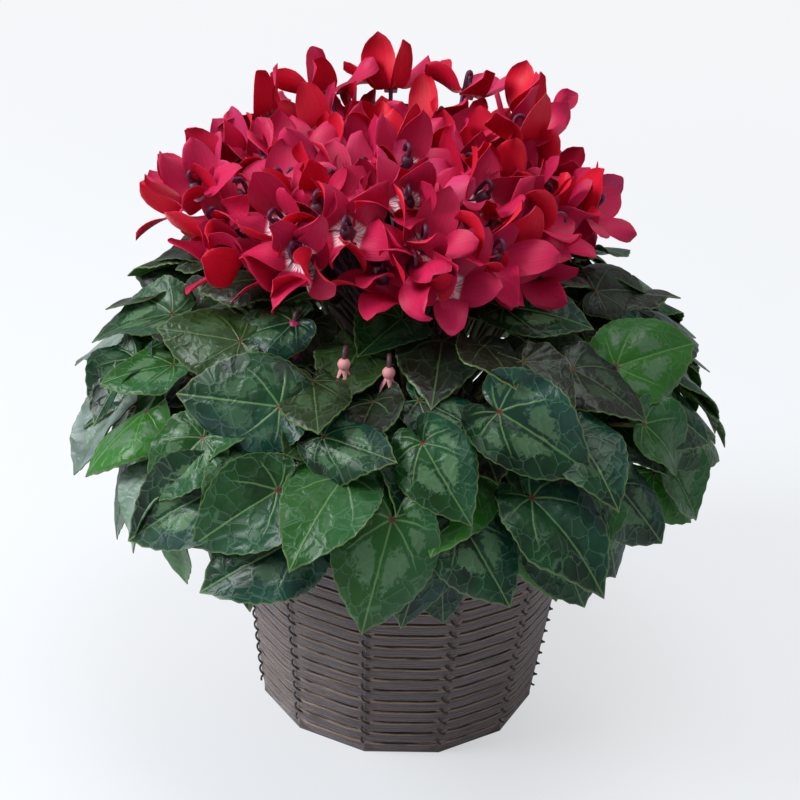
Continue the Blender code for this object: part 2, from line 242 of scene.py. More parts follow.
def soft_light(name, position, size, power):
    lamp = bpy.data.lights.new(name, "AREA")
    lamp.shape = "DISK"
    lamp.size = size
    lamp.energy = power
    lamp.color = LAMP_COLOUR
    obj = bpy.data.objects.new(name, lamp)
    aim = (LAMP_AIM - Vector(position)).to_track_quat("-Z", "Y")
    obj.matrix_world = Matrix.Translation(position) @ aim.to_matrix().to_4x4()
    bpy.context.scene.collection.objects.link(obj)


soft_light("window", (-2.0, -0.55, 1.6), 1.2, 62)
soft_light("top", (0.2, -0.1, 2.5), 1.6, 22)
print("lights:", len(bpy.data.lights))

# %% Room
ROOM_COLOUR = (0.93, 0.96, 1.0)
ROOM_STRENGTH = 0.42       # what the room gives the plant
ROOM_SEEN = 0.92           # how bright the camera sees it

world = bpy.data.worlds.new("room")
world.use_nodes = True
bpy.context.scene.world = world
nodes, links = world.node_tree.nodes, world.node_tree.links
room, seen = nodes["Background"], nodes.new("ShaderNodeBackground")
room.inputs["Color"].default_value = (*ROOM_COLOUR, 1)
room.inputs["Strength"].default_value = ROOM_STRENGTH
seen.inputs["Strength"].default_value = ROOM_SEEN
blend = nodes.new("ShaderNodeMixShader")
links.new(nodes.new("ShaderNodeLightPath").outputs["Is Camera Ray"], blend.inputs[0])
links.new(room.outputs[0], blend.inputs[1])
links.new(seen.outputs[0], blend.inputs[2])
links.new(blend.outputs[0], nodes["World Output"].inputs["Surface"])
print("room:", world.name, "strength", ROOM_STRENGTH)

# %% [markdown]
# ## Helpers for pieces
# Every piece keeps its place in its mesh, so its object stays at the origin. `finished` turns a bmesh
# into such a piece, gives it its materials and lets it ride on the one body of this row. Stalks are
# curves with a round bevel: a tube spun along each path by hand would need the same code many times.

# %% Finished pieces


def finished(name, bm, finishes, nodes=(), smooth_angle=60):
    mesh = bpy.data.meshes.new(name)
    bm.to_mesh(mesh)
    bm.free()
    for finish in finishes:
        mesh.materials.append(finish.material)
    mesh.shade_smooth()
    mesh.set_sharp_from_angle(angle=math.radians(smooth_angle))
    piece = bpy.data.objects.new(name, mesh)
    bpy.context.scene.collection.objects.link(piece)
    settle(piece, nodes)


def settle(piece, nodes=()):
    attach(piece, "root")
    if nodes:
        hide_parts(*nodes)


def stalks(name, routes, finish, sides=2):
    """Many thin round stalks as one curve piece. A route is a list of (point, radius)."""
    curve = bpy.data.curves.new(name, "CURVE")
    curve.dimensions = "3D"
    curve.bevel_depth = 1.0
    curve.bevel_resolution = sides
    curve.use_fill_caps = True
    for route in routes:
        spline = curve.splines.new("POLY")
        spline.points.add(len(route) - 1)
        for point, (co, radius) in zip(spline.points, route):
            point.co = (*co, 1)
            point.radius = radius
        spline.use_smooth = True
    curve.materials.append(finish.material)
    piece = bpy.data.objects.new(name, curve)
    bpy.context.scene.collection.objects.link(piece)
    settle(piece)


def heading(azimuth):
    """The level direction at an azimuth from the front, and the level direction to its right."""
    a = math.radians(azimuth)
    return Vector((math.sin(a), -math.cos(a), 0)), Vector((math.cos(a), math.sin(a), 0))


def bezier(p0, p1, p2, p3, steps):
    """Points on a curve with four control points, without its first point."""
    points = []
    for i in range(1, steps + 1):
        t = i / steps
        s = 1 - t
        points.append(p0 * s**3 + p1 * 3 * s * s * t + p2 * 3 * s * t * t + p3 * t**3)
    return points


# %% [markdown]
# ## The basket
# Eighteen flat bands are bent round twelve corners and stacked with a small gap. Each band is a
# twelve-sided ring pulled up from a circle, thickened, and softened along its edges, as a real strip is.
# One tall wall with grooves would be quicker, but light would not fall through the gaps between bands.

# %% Basket sizes
SIDES = 12
CORNER_TURN = 3.6
BASE_RADIUS = 0.092
FLARE = 0.117
PITCH = 0.0085
BAND_HEIGHT = 0.0073
BAND_THICK = 0.0024
CORNER_BEND = 0.014        # length of strip that is bent, on each side of a corner
CORNER_STEPS = 5
EDGE_ROUND = 0.0008
FOOT_TUCK = 0.0018         # how far the lower edge of the lowest band turns in
RIM_ANGLE = 1.2            # radians: sharper edges than this are rims, and get rounded
BANDS = sorted(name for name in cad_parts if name.startswith("basket_band"))
print("bands:", len(BANDS))

# %% [markdown]
# The bands are stained a greyish brown. Fine fibres run along them. A wave texture would draw them too
# evenly, so the pattern is a noise that is stretched level. The rounded top edge gets a painted highlight,
# a lighter tan where light catches it, and a thin sheen stands for the dull bloom that a side light brings
# out.

# %% Reed finish
REED_DARK, REED_LIGHT = (0.021, 0.011, 0.010), (0.078, 0.045, 0.042)
REED_PATCH, REED_EDGE_HIGHLIGHT = (0.055, 0.032, 0.028), (0.19, 0.125, 0.088)
FIBRE_SPREAD = (50, 50, 1000)
EDGE_HIGHLIGHT_FROM = (0.68, 0.77)   # share of the pitch where the painted highlight on the top edge starts and where it is full

reed = Finish("stained reed", (0.08, 0.06, 0.055), 0.45, Specular_IOR_Level=0.8,
              Sheen_Weight=0.35, Sheen_Roughness=0.4, Sheen_Tint=(1.0, 0.9, 0.93, 1))
spot = reed.place()
_, _, height = reed.split(spot)
course_share = reed.math("FRACT", height / PITCH)
fibre = reed.step(reed.noise(reed.stretch(spot, *FIBRE_SPREAD), 1.0, 5.0), 0.3, 0.7)
patch = reed.noise(spot, 45.0, 2.0)
face = reed.mix(fibre, REED_DARK, REED_LIGHT)
face = reed.mix(patch * 0.5, face, REED_PATCH)
# painted highlight: the top edge of each band is lighter, where light catches its rounded rim
edge_highlight = reed.step(course_share, *EDGE_HIGHLIGHT_FROM) * reed.step(fibre, 0.0, 0.6)
reed.colour(reed.mix(edge_highlight, face, REED_EDGE_HIGHLIGHT))
reed.bump(fibre, 0.0006, 0.8)
print("reed nodes:", len(reed.tree.nodes))


# %% Bands
def basket_band(name, course):
    low = course * PITCH
    bm = bmesh.new()
    ring = bmesh.ops.create_circle(bm, segments=SIDES, radius=1, cap_ends=False)["verts"]
    turn = Matrix.Rotation(math.radians(CORNER_TURN + 180 / SIDES - 90), 3, "Z")
    bmesh.ops.rotate(bm, cent=(0, 0, 0), matrix=turn, verts=ring)
    tuck = FOOT_TUCK if course == 0 else 0.0
    radius = BASE_RADIUS + FLARE * low - BAND_THICK / 2 - tuck
    bmesh.ops.scale(bm, vec=(radius, radius, 1), verts=ring)
    bmesh.ops.translate(bm, vec=(0, 0, low), verts=ring)
    grown = bmesh.ops.extrude_edge_only(bm, edges=bm.edges[:])["geom"]
    upper = [v for v in grown if isinstance(v, bmesh.types.BMVert)]
    flare = 1 + (FLARE * BAND_HEIGHT + tuck) / radius
    bmesh.ops.scale(bm, vec=(flare, flare, 1), verts=upper)
    bmesh.ops.translate(bm, vec=(0, 0, BAND_HEIGHT), verts=upper)
    posts = [e for e in bm.edges if abs(e.verts[0].co.z - e.verts[1].co.z) > BAND_HEIGHT / 2]
    bmesh.ops.bevel(bm, geom=posts, offset=CORNER_BEND, segments=CORNER_STEPS, profile=0.5,
                    affect="EDGES", material=-1)
    bmesh.ops.recalc_face_normals(bm, faces=bm.faces)
    bmesh.ops.solidify(bm, geom=bm.faces[:], thickness=BAND_THICK)
    bmesh.ops.recalc_face_normals(bm, faces=bm.faces)
    rims = [e for e in bm.edges if e.calc_face_angle(0) > RIM_ANGLE]
    bmesh.ops.bevel(bm, geom=rims, offset=EDGE_ROUND, segments=2, profile=0.5, affect="EDGES",
                    material=-1)
    finished(name + "_strip", bm, [reed], [name], 40)


for course, name in enumerate(BANDS):
    basket_band(name, course)
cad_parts["basket_frame"].data.materials[0] = reed.material
print("strips:", len(BANDS))

# %% [markdown]
# At every corner a thin dark cord laces the bands to the stake behind them. Separate loops would be
# simpler, but the real cord is one piece: it makes one turn for each course, so it is a helix that is
# flattened against the bands, and shows as a short slanting stitch.

# %% Lacing
CORD_RADIUS = 0.00068
STITCH_HALF = 0.0023       # half the width of a stitch along the facet
STITCH_POINTS = 14
STITCH_RISE = 0.93         # height of the first stitch, in courses
CORNER_CUT = CORNER_BEND * (1 / math.cos(math.pi / SIDES) - 1) / math.tan(math.pi / SIDES)
cord_finish = Finish("dark lacing", (0.028, 0.017, 0.015), 0.55)


def lacing_route(index):
    out, side = heading(CORNER_TURN + (index + 0.5) * 360 / SIDES)
    route = []
    for i in range((len(BANDS) - 2) * STITCH_POINTS + 1):
        turn = i / STITCH_POINTS
        angle = 2 * math.pi * turn
        height = PITCH * (turn + STITCH_RISE)
        middle = BASE_RADIUS + FLARE * height - BAND_THICK / 2 - CORNER_CUT
        proud = BAND_THICK / 2 + CORD_RADIUS / 2
        point = out * (middle + proud * math.cos(angle)) - side * STITCH_HALF * math.sin(angle)
        route.append((point + Vector((0, 0, height)), CORD_RADIUS))
    return route


stalks("corner_lacing", [lacing_route(i) for i in range(SIDES)], cord_finish, 1)
print("lacing turns at each corner:", len(BANDS) - 2)

# %% [markdown]
# ## Pot, peat and tuber
# These are hidden by the leaves, but a look between the stalks finds them. The CAD shapes of the pot and
# the tuber are right as they are, so they only get their finish. The peat gets a crumbled top: a
# displacement would do it too, but moving the points of the top by chance keeps the sides untouched.

# %% Pot and tuber finishes
BARK_DARK, BARK_LIGHT = (0.05, 0.028, 0.018), (0.2, 0.13, 0.08)
pot_plastic = Finish("pot plastic", (0.03, 0.028, 0.027), 0.45)
bark = Finish("tuber bark", (0.1, 0.06, 0.035), 0.9)
bark.colour(bark.mix(bark.noise(bark.place(), 160), BARK_DARK, BARK_LIGHT))
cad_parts["grower_pot"].data.materials[0] = pot_plastic.material
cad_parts["tuber"].data.materials[0] = bark.material
print("own finishes:", pot_plastic.material.name, "and", bark.material.name)

# %% Peat
PEAT_STEPS = 90
PEAT_FOOT, PEAT_SHOULDER, PEAT_EDGE = 0.056, 0.0826, 0.081      # radii, up to the edge of its top
PEAT_INNER = 0.0345        # radius of the hollow that the tuber sits in
PEAT_RINGS = 12
PEAT_DARK, PEAT_LIGHT = (0.012, 0.008, 0.006), (0.1, 0.062, 0.04)
peat = Finish("peat", (0.035, 0.022, 0.015), 0.95)
crumb = peat.noise(peat.place(), 420, 6.0)
peat.colour(peat.mix(crumb, PEAT_DARK, PEAT_LIGHT))
peat.bump(crumb, 0.002)

soil_low, soil_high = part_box("soil")
tuber_low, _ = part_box("tuber")
random_peat = random.Random(5)
bm = bmesh.new()
profile = [(0.0, soil_low[2]), (PEAT_FOOT, soil_low[2]), (PEAT_SHOULDER, soil_high[2] - 0.005)]
profile += [(PEAT_EDGE - 0.004 * i, soil_high[2] - 0.0035 * (i == 0)) for i in range(PEAT_RINGS)]
profile += [(PEAT_INNER, soil_high[2] - 0.001), (0.03, tuber_low[2] + 0.004), (0.0, tuber_low[2] - 0.001)]
chain = [bm.verts.new((radius, 0, height)) for radius, height in profile]
edges = [bm.edges.new(pair) for pair in zip(chain, chain[1:])]
bmesh.ops.spin(bm, geom=chain + edges, cent=(0, 0, 0), axis=(0, 0, 1), dvec=(0, 0, 0),
               angle=2 * math.pi, steps=PEAT_STEPS, use_merge=True)
bmesh.ops.remove_doubles(bm, verts=bm.verts, dist=1e-5)
bmesh.ops.recalc_face_normals(bm, faces=bm.faces)
for v in bm.verts:
    reach = math.hypot(v.co.x, v.co.y)
    if v.co.z > soil_high[2] - 0.002 and 0.036 < reach < 0.08:
        v.co.z += random_peat.uniform(-0.002, 0.0015)
print("peat points:", len(bm.verts))
finished("peat_surface", bm, [peat], ["soil"], 80)

# %% [markdown]
# ## Leaves
# The leaves lie over each other like tiles on a low mound. The first twenty are those of the CAD model,
# the rest fill the mound between them. Leaves that are seen one by one are listed, one line of numbers
# each. Those deeper in or at the back are rings with a little chance in them, joined into one piece a
# ring, since nobody looks at one of them alone.

# %% Leaf sizes and places
MOUND_CENTRE = Vector((-0.008, 0, 0.19))
MOUND_RADIUS = 0.178
MOUND_RISE = 0.115
MOUND_DROP = 0.09
CROWN_HEIGHT = 0.1503      # top of the tuber, where all the stalks start
LEAF_RING = 0.0235         # radius of the ring of leaf stalks on the tuber
FLOWER_RING = 0.0115       # and of the flower stalks, inside it
BLADE_THICK = 0.0008
PETIOLE = 0.003            # thickness of a leaf stalk
SCAPE = 0.0026             # and of a flower stalk

# azimuth, degrees down the mound, swing to the side, length mm, height above the mound mm
CAD_LEAVES = [
    (0, 77, -12, 72, 6), (-20, 74, -45, 64, 6), (-42, 92, 0, 52, -6), (-56, 70, -10, 58, 2),
    (-24, 56, -80, 70, 8), (-72, 50, -20, 60, 5), (-94, 66, -5, 62, 2), (25, 74, 34, 72, 2),
    (21, 54, 42, 68, 8), (46, 78, 30, 58, -4), (44, 48, 25, 58, 6), (62, 62, 30, 60, 2),
    (84, 66, 10, 60, 2), (88, 42, 20, 54, 6), (112, 72, 0, 62, 2), (138, 60, 10, 62, 4),
    (164, 74, -5, 64, 2), (-170, 58, 5, 62, 5), (-146, 74, 0, 64, 2), (-122, 58, -10, 62, 4),
]
FRONT_LEAVES = [
    (-83, 50, 10, 42, 8), (-55, 57, -35, 50, 6), (-20, 48, 30, 50, 3), (-38, 68, -23, 56, 4),
    (-34, 80, -45, 66, 0), (-16, 86, -60, 70, -2), (-9, 68, -24, 66, 1), (-14, 60, 80, 52, 4),
    (-43, 45, -65, 58, 6), (-34, 36, -47, 50, 4), (5, 48, 60, 48, -5), (24, 38, 0, 50, 4),
    (38, 30, 45, 58, 6), (78, 38, 45, 52, 8), (77, 52, 45, 58, 6), (55, 52, 73, 66, 9),
    (54, 66, 33, 52, 7), (31, 44, 12, 50, 9), (5, 60, 26, 56, 9), (12, 78, 30, 62, -2),
    (5, 86, -5, 50, -4), (-70, 76, 5, 60, -2), (66, 82, 12, 54, -6),
]
BACK_LEAVES = [
    (104, 54, 20, 54, 8), (126, 78, -15, 60, -3), (122, 44, 10, 54, 7), (150, 46, -20, 54, 7),
    (178, 50, 15, 56, 8), (150, 80, 10, 60, -4), (-160, 80, 15, 60, -4), (-158, 44, -15, 54, 6),
    (-134, 62, 20, 56, 8), (-134, 42, 5, 54, 5), (-112, 76, 10, 60, -3), (-106, 46, 15, 54, 8),
    (98, 80, -10, 58, -5), (-128, 82, -20, 56, -6), (178, 66, 25, 60, 9),
]
TOP_LEAVES = [
    (-12, 33, -25, 46, -28), (14, 28, 25, 44, -24), (-58, 30, -35, 48, 5), (62, 24, 30, 48, 5),
    (-96, 32, 10, 50, 4), (112, 30, -10, 48, 4), (150, 26, 10, 46, 3), (-150, 28, -10, 46, 3),
    (-66, 62, 20, 52, 9), (-6, 48, -10, 50, -10), (36, 62, -5, 54, 8), (70, 74, 35, 54, 6),
    (-48, 82, 12, 56, -3), (30, 86, 14, 54, -5), (-26, 88, 8, 54, -6),
]
LEAVES = CAD_LEAVES + FRONT_LEAVES + BACK_LEAVES + TOP_LEAVES
# more rings of leaves: name, degrees down, height above the mound mm, how many, first and last azimuth
LEAF_RINGS = [
    ("crown_leaves", 20, -14, 8, 0, 360), ("under_leaves_1", 32, -14, 12, 17, 377),
    ("under_leaves_2", 48, -15, 16, 34, 394), ("under_leaves_3", 68, -14, 20, 51, 411),
    ("under_leaves_4", 88, -14, 19, 68, 428), ("back_leaves_1", 36, 2, 9, 100, 270),
    ("back_leaves_2", 54, 1, 12, 92, 268), ("back_leaves_3", 72, -2, 13, 88, 272),
    ("back_leaves_4", 88, -6, 13, 84, 270), ("under_leaves_5", 58, -17, 15, 12, 372),
]
# how much painted light shines through some leaves, as a brighter green, and how silver they are: above 1.1
# the whole face pales with a painted sheen
LIT_THROUGH_LEAVES = {3: 0.9, 20: 0.9, 6: 0.0, 41: 0.1, 23: 0.3, 50: 0.8, 64: 0.8}
SILVER_AND_SHEEN_LEAVES = {24: 1.0, 35: 1.0, 5: 1.2, 6: 1.6, 41: 1.7, 70: 1.7, 2: 1.3}
print("leaves:", len(LEAVES))

# %% [markdown]
# The blade is dark green with a light margin and light veins that fan out from the stalk. Between the
# veins lie silver patches with ragged edges, and a fine net of side veins covers the rest. A pattern on
# Object coordinates would ignore the shape of a leaf. So each blade carries attributes that say how far
# along it a point lies, how far across and how near the rim, and the veins are drawn from those.

# %% Leaf colours
LEAF_DARK, LEAF_GREEN = (0.001, 0.009, 0.003), (0.004, 0.042, 0.010)
LEAF_SKY_SHEEN, LEAF_LIT_THROUGH = (0.009, 0.056, 0.046), (0.025, 0.14, 0.008)
LEAF_TOP_DARK, LEAF_BLOTCH = (0.016, 0.012, 0.008), (0.075, 0.155, 0.070)
LEAF_PAINTED_SHEEN, LEAF_NET = (0.28, 0.34, 0.33), (0.10, 0.20, 0.12)
LEAF_VEIN, LEAF_RIM = (0.12, 0.23, 0.08), (0.14, 0.20, 0.07)
LEAF_JOINT = (0.10, 0.03, 0.02)
BACK_GREEN, BACK_VEIN = (0.05, 0.12, 0.02), (0.10, 0.14, 0.05)
print("leaf colours from", LEAF_DARK, "to", LEAF_PAINTED_SHEEN)

# %% Leaf veins
VEIN_SPREAD = 42           # degrees between two side veins
leaf_green = Finish("cyclamen leaf", (0.02, 0.08, 0.03), 0.36, Specular_IOR_Level=0.28)
ahead, across = leaf_green.attribute("ahead"), leaf_green.attribute("across")
rim, under = leaf_green.attribute("rim"), leaf_green.attribute("under")
lit_through, silver_and_sheen = leaf_green.attribute("lit_through"), leaf_green.attribute("silver_and_sheen")
top_dark, seed = leaf_green.attribute("top_dark"), leaf_green.attribute("seed")
flat_spot = leaf_green.join(ahead, across, seed)
wander = leaf_green.noise(flat_spot, 7.0, 3.0)
cloud = leaf_green.step(leaf_green.noise(flat_spot, 3.0, 3.0), 0.3, 0.7)
reach = leaf_green.math("SQRT", ahead * ahead + across * across)
bent = leaf_green.math("ARCTAN2", across, ahead) / (1.2 - 0.45 * reach) + 0.12 * (wander - 0.5)
from_vein = leaf_green.math("PINGPONG", bent, math.radians(VEIN_SPREAD / 2)) * reach
from_midrib = leaf_green.math("ABSOLUTE", across)
midrib = (1 - leaf_green.step(from_midrib, 0.004, 0.013)) * leaf_green.step(ahead, -0.01, 0.02)
laterals = (1 - leaf_green.step(from_vein, 0.003, 0.012)) * (1 - leaf_green.step(rim, 0.55, 0.85))
vein = leaf_green.math("MAXIMUM", midrib, laterals)
net_spot = leaf_green.join(ahead + 0.16 * wander, across - 0.16 * wander, seed)
net_edge = leaf_green.node("ShaderNodeTexVoronoi", {"feature": "DISTANCE_TO_EDGE"},
                           {"Vector": net_spot, "Scale": 6.5})
net = (1 - leaf_green.step(net_edge, 0.008, 0.04)) * leaf_green.step(rim, 0.3, 0.6)
print("vein nodes:", len(leaf_green.tree.nodes))

# %% Leaf face
ragged = 0.35 * leaf_green.noise(flat_spot, 26.0, 3.0)
patch_ring = leaf_green.step(rim + ragged, 0.50, 0.58) * (1 - leaf_green.step(rim + ragged, 0.80, 0.88))
patch_gap = leaf_green.step(from_vein + 0.12 * ragged, 0.055, 0.075)
patch_gap = patch_gap * leaf_green.step(from_midrib, 0.02, 0.05)
blotch = patch_ring * patch_gap * silver_and_sheen
dark_face = leaf_green.mix(cloud, LEAF_DARK, LEAF_GREEN)
# painted reflection: one side of each blade is tinted bluish, as the bright room's sheen on it
sky_sheen_face = leaf_green.mix(leaf_green.step(across + 0.4 * wander, 0.1, 0.5) * 0.45, dark_face, LEAF_SKY_SHEEN)
# painted light: a brighter, yellower green on some leaves, for light shining through them
lit_through_face = leaf_green.mix(lit_through, sky_sheen_face, LEAF_LIT_THROUGH)
# leaves high on the mound, under the flowers, get a darker, browner face
face = leaf_green.mix(top_dark, lit_through_face, LEAF_TOP_DARK)
face = leaf_green.mix(blotch * (0.85 - 0.8 * top_dark), face, LEAF_BLOTCH)
# painted highlight: on leaves whose silver mark is above 1.1 the whole face pales, a sheen of light painted
# in
face = leaf_green.mix(leaf_green.step(silver_and_sheen, 1.1, 1.7) * (0.25 + 0.55 * cloud), face, LEAF_PAINTED_SHEEN)
face = leaf_green.mix(net * (0.34 - 0.2 * top_dark), face, LEAF_NET)
face = leaf_green.mix(vein * (0.65 - 0.3 * top_dark), face, LEAF_VEIN)
face = leaf_green.mix(leaf_green.step(rim, 0.97, 1.0) * 0.6, face, LEAF_RIM)
face = leaf_green.mix(1 - leaf_green.step(reach, 0.015, 0.05), face, LEAF_JOINT)
back_face = leaf_green.mix(vein, BACK_GREEN, BACK_VEIN)
leaf_green.colour(leaf_green.mix(under, face, back_face))
leaf_green.bump(leaf_green.step(net_edge, 0.0, 0.3) - vein, 0.0007, 0.4)
print("leaf nodes:", len(leaf_green.tree.nodes))

# %% [markdown]
# A blade starts as a straight row of points that is spun into a fan and thickened to a slab. Each point
# then moves to its place on a heart with a notch at the stalk, a finely toothed edge and a soft fold.
# A flat outline could be filled and bent by modifiers, but a fan has its points where a leaf bends: in
# rings round the stalk. The fan is spun once, and each blade starts from a copy of it.

# %% Leaf shape
FAN_STEPS = 144
FAN_RINGS = 9
TEETH = 36
TOOTH_DEPTH = 0.012        # share of a blade's length
BLADE_SHARE = 0.84         # length from the stalk to the tip, as a share of the length in the lists
BLADE_TILT = 14            # degrees that a blade stands up from the mound
STALK_DROP = 0.028         # how far below its blade a stalk has become straight


def mound_point(azimuth, down):
    """The point of the mound at an azimuth, some degrees down from its top."""
    out, _ = heading(azimuth)
    a = math.radians(down)
    lift = MOUND_RISE if down < 90 else MOUND_DROP
    return MOUND_CENTRE + out * MOUND_RADIUS * math.sin(a) + Vector((0, 0, lift * math.cos(a)))


def heart(angle):
    """Distance from the stalk to the edge of a blade, as a share of its length."""
    a = math.radians(angle)
    lobe = 0.40 + 0.17 * math.cos(a) + 0.43 * math.exp(-abs(angle) / 30)
    back = 0.07 * math.exp(-((140 - abs(angle)) / 28) ** 2)
    notch = 1 - 0.86 * math.exp(-((180 - abs(angle)) / 13) ** 2)
    tooth = 1 + TOOTH_DEPTH * math.cos(math.radians(angle * TEETH))
    return (lobe + back) * notch * tooth


def leaf_frame(azimuth, down, swing, above, extra_tilt, roll):
    """Stalk joint of a blade, its direction, the direction across it and its normal."""
    downhill = (mound_point(azimuth, down + 1) - mound_point(azimuth, down - 1)).normalized()
    out, side = heading(azimuth)
    normal = side.cross(downhill).normalized()
    if normal.dot(out) < 0:
        normal.negate()
    joint = mound_point(azimuth, down) + normal * above / 1000
    a = math.radians(swing)
    flat = downhill * math.cos(a) + side * math.sin(a)
    tilt = math.radians(BLADE_TILT + extra_tilt)
    along = flat * math.cos(tilt) + normal * math.sin(tilt)
    sideways = Matrix.Rotation(math.radians(roll), 3, along) @ normal.cross(flat).normalized()
    return joint, along, sideways, along.cross(sideways)


LEAF_MARKS = ("ahead", "across", "rim", "under", "lit_through", "silver_and_sheen", "top_dark", "seed")


def leaf_fan():
    """A flat round slab of radius 1, with its lower side at Z -1, for every blade to start from."""
    bm = bmesh.new()
    for name in LEAF_MARKS:
        bm.verts.layers.float.new(name)
    row = [bm.verts.new((i / FAN_RINGS, 0, 0)) for i in range(FAN_RINGS + 1)]
    edges = [bm.edges.new(pair) for pair in zip(row, row[1:])]
    bmesh.ops.spin(bm, geom=row + edges, cent=(0, 0, 0), axis=(0, 0, 1), dvec=(0, 0, 0),
                   angle=2 * math.pi, steps=FAN_STEPS, use_merge=True)
    bmesh.ops.remove_doubles(bm, verts=bm.verts, dist=1e-5)
    bmesh.ops.recalc_face_normals(bm, faces=bm.faces)
    grown = bmesh.ops.extrude_face_region(bm, geom=bm.faces[:], use_keep_orig=True)["geom"]
    lower = [v for v in grown if isinstance(v, bmesh.types.BMVert)]
    bmesh.ops.translate(bm, vec=(0, 0, -1), verts=lower)
    mesh = bpy.data.meshes.new("leaf_fan")
    bm.to_mesh(mesh)
    bm.free()
    return mesh


FAN = leaf_fan()
print("points of a blade:", len(FAN.vertices))


def leaf_blade(bm, number, spec):
    """Add one blade to a bmesh. Returns the start of its stalk and the point it first heads for."""
    azimuth, down, swing, length, above = spec
    length = length * BLADE_SHARE / 1000
    chance = random.Random(number * 7 + 3)
    extra_tilt, roll = chance.uniform(-6, 20), chance.uniform(-22, 22)
    joint, along, sideways, normal = leaf_frame(azimuth, down, swing, above, extra_tilt, roll)
    count = len(bm.verts)
    bm.from_mesh(FAN)
    bm.verts.ensure_lookup_table()
    layer = {name: bm.verts.layers.float[name] for name in LEAF_MARKS}
    fold, curl = chance.uniform(0.0, 0.42), chance.uniform(-0.2, 1.4)
    droop = chance.uniform(0.05, 0.40)
    waves = [(chance.randint(2, 4), chance.uniform(0, 6.28), chance.uniform(0.03, 0.10)),
             (chance.randint(5, 9), chance.uniform(0, 6.28), chance.uniform(0.008, 0.03))]
    marks = {"seed": chance.uniform(0, 30),
             "lit_through": LIT_THROUGH_LEAVES.get(number, chance.choice([0.0, 0.0, 0.15, 0.4, 0.8])),
             "silver_and_sheen": SILVER_AND_SHEEN_LEAVES.get(number, chance.choice([0.1, 0.4, 0.7, 1.0])),
             "top_dark": chance.uniform(0.6, 1.0) if down < 51 and chance.random() < 0.85 else 0.0}
    for v in bm.verts[count:]:
        below = v.co.z < -0.5
        share, angle = min(math.hypot(v.co.x, v.co.y), 1.0), math.degrees(math.atan2(v.co.y, v.co.x))
        radius = heart(angle) * share
        x, y = radius * math.cos(math.radians(angle)), radius * math.sin(math.radians(angle))
        v[layer["ahead"]], v[layer["across"]], v[layer["rim"]] = x, y, share
        v[layer["under"]] = float(below)
        for name, mark in marks.items():
            v[layer[name]] = mark
        lift = fold * abs(y) - droop * x * abs(x) - curl * y * y
        for crests, start, size in waves:
            lift += size * share * share * math.sin(math.radians(angle) * crests + start)
        lift = lift * length - BLADE_THICK * below
        v.co = joint + along * x * length + sideways * y * length + normal * lift
    lead = joint - normal * (STALK_DROP + BLADE_THICK) - along * 0.012
    return joint - normal * BLADE_THICK / 2, lead


# %% [markdown]
# Every stalk swings in from its blade to the crown of the tuber. Stalks that meet the crown in order of
# their azimuth do not cross. All of them are splines of one curve piece, which keeps the file light.

# %% Leaf stalks
FOOT_DEPTH = 0.0012
COLLAR_HEIGHT = 0.004
STALK_STEPS = 14
STALK_REACH = 0.05         # how far above its collar a stalk starts to straighten up
PETIOLE_RED, PETIOLE_GREEN = (0.10, 0.03, 0.02), (0.13, 0.15, 0.05)
petiole = Finish("leaf stalk", (0.12, 0.075, 0.04), 0.45)
petiole.colour(petiole.mix(petiole.noise(petiole.place(), 30), PETIOLE_RED, PETIOLE_GREEN))


def crown_spot(azimuth, ring):
    """Where a stalk meets the tuber, a little inside it, and the point above where it is upright."""
    out, _ = heading(azimuth)
    foot = out * ring + Vector((0, 0, CROWN_HEIGHT - FOOT_DEPTH))
    return foot, foot + Vector((0, 0, COLLAR_HEIGHT))


def leaf_stalk(start, lead, ring, azimuth):
    foot, collar = crown_spot(azimuth, ring)
    above_collar = collar + Vector((0, 0, STALK_REACH))
    points = [start] + bezier(start, lead, above_collar, collar, STALK_STEPS) + [foot]
    return [(point, PETIOLE / 2) for point in points]


# %% Leaves
RING_STEP = 0.004          # every second stalk stands this much further in
petioles = []
for number, spec in enumerate(LEAVES):
    bm = bmesh.new()
    start, lead = leaf_blade(bm, number, spec)
    nodes = [f"leaf_{number + 1:02d}"] if number < len(CAD_LEAVES) else []
    finished(f"blade_{number + 1:02d}", bm, [leaf_green], nodes, 70)
    ring = LEAF_RING if number % 2 else LEAF_RING - RING_STEP
    petioles.append(leaf_stalk(start, lead, ring, spec[0]))

# %% Rings of leaves
SWING = 30                 # a blade of a ring swings up to this many degrees to either side
LENGTHS = (50, 64)
for index, (name, down, above, count, first, last) in enumerate(LEAF_RINGS):
    chance = random.Random(index + 40)
    bm = bmesh.new()
    for i in range(count):
        azimuth = first + (last - first) * i / count + chance.uniform(-6, 6)
        spec = (azimuth, down + chance.uniform(-4, 4), chance.uniform(-SWING, SWING),
                chance.uniform(*LENGTHS), above)
        start, lead = leaf_blade(bm, 100 + 20 * index + i, spec)
        petioles.append(leaf_stalk(start, lead, LEAF_RING - RING_STEP / 2, azimuth))
    finished(name, bm, [leaf_green], (), 70)
stalks("leaf_stalks", petioles, petiole)
print("petioles:", len(petioles))

# %% [markdown]
# ## Flowers
# A cyclamen flower hangs its face down and throws its five petals back over the stalk, each with a
# twist. The flowers stand in a dome of rings. The first fifteen are those of the CAD model, and the rings
# between them get a little chance in place and lean, because an even dome looks like a cushion.

# %% Flower list
BLOOM_CENTRE = Vector((-0.020, 0, 0))

